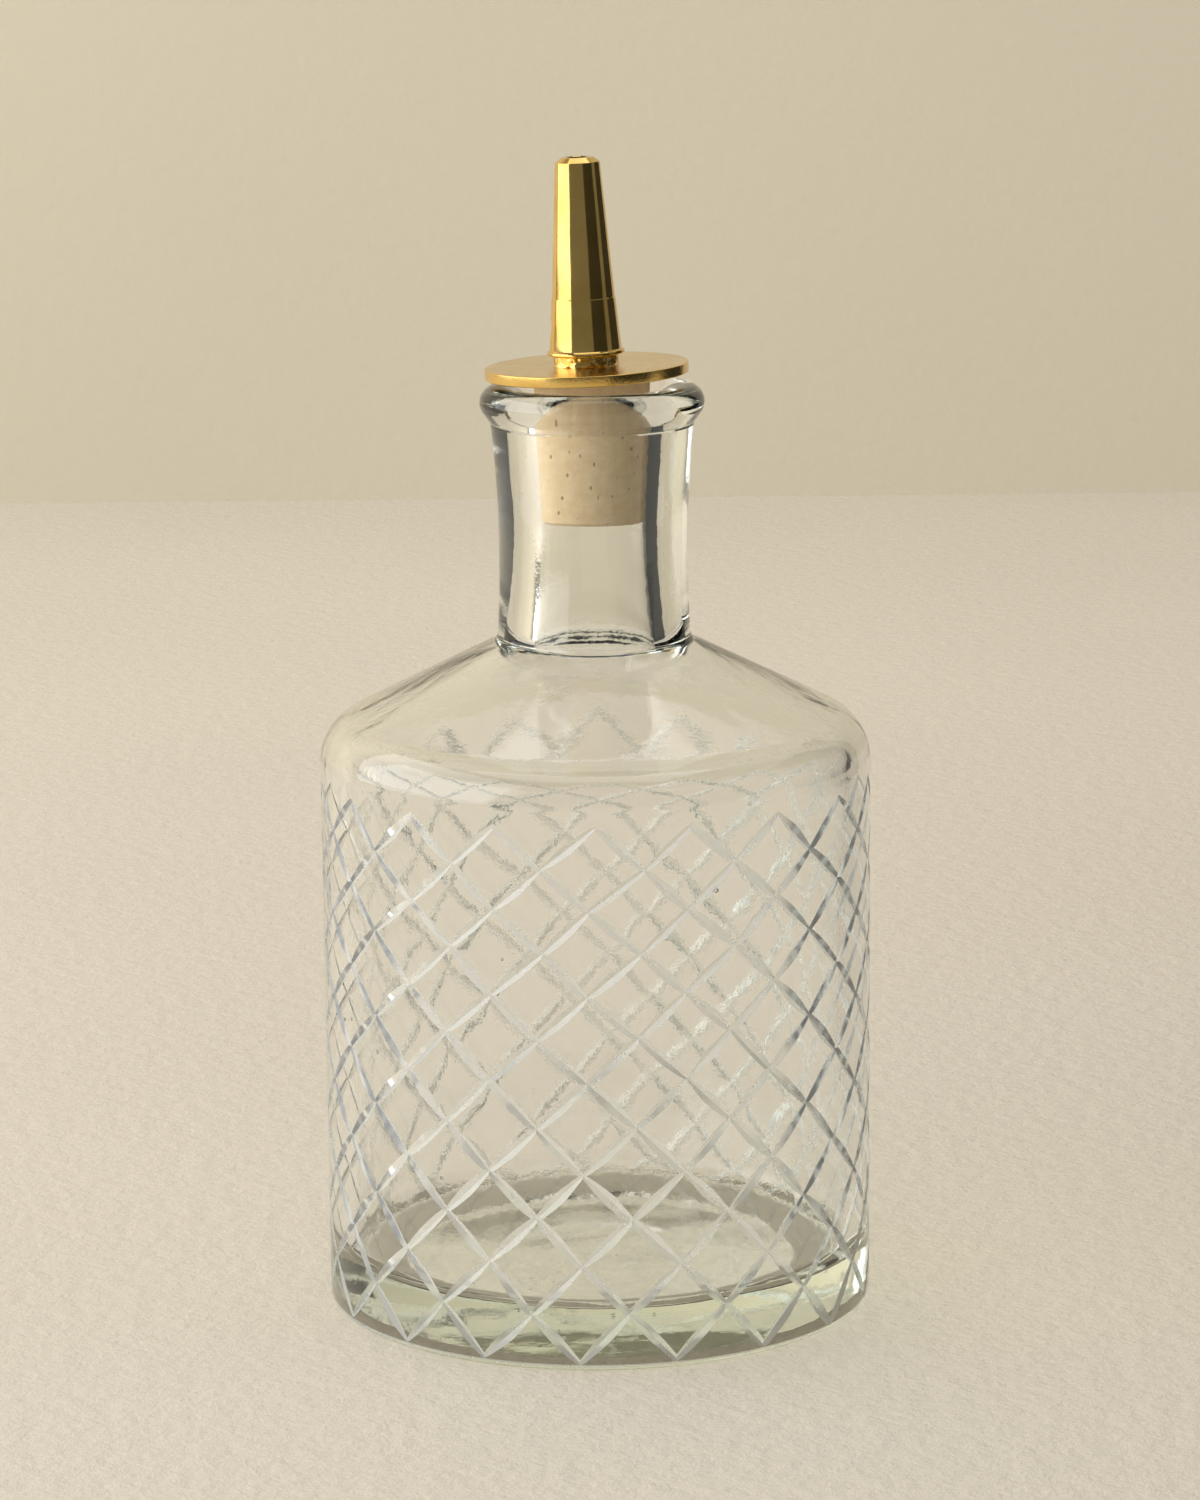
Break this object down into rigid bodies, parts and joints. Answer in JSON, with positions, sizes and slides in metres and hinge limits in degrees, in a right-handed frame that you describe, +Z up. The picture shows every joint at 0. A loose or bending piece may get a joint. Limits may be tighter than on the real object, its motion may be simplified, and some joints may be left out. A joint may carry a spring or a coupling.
{
  "type": "bitters bottle",
  "caption": "Round clear-glass bitters bottle with a diamond-cut body, sloped shoulder and tall neck, stopped by a cork that carries a brass disc and a tapered dasher spout.",
  "frame": {"origin": "middle of the base, on the surface the bottle stands on", "axes": "+Z up the bottle's axis, towards the spout; -X towards the vent hole, where the dasher leans"},
  "size_m": [0.078, 0.078, 0.1635],
  "materials": {
    "clear_glass": "polished, slightly green where it is thick, with ground cuts",
    "cork": "fine natural cork, matt",
    "polished_brass": "bright polished, with fine turning marks"
  },
  "bodies": {
    "bottle": {"glass_bottle": "clear_glass"},
    "cork": {"cork_stopper": "cork"},
    "dasher": {"flange_disc": "polished_brass", "spout_collar": "polished_brass", "spout": "polished_brass", "stem_tube": "polished_brass"}
  },
  "joints": [
    {"name": "stopper_lift", "type": "slide", "parent": "bottle", "child": "cork", "axis": [0, 0, 1], "range_m": [0, 0.06]},
    {"name": "spout_turn", "type": "hinge", "parent": "cork", "child": "dasher", "pos_m": [0, 0, 0.11306], "axis": [-0.0349, 0, 0.9994], "continuous": true}
  ]
}
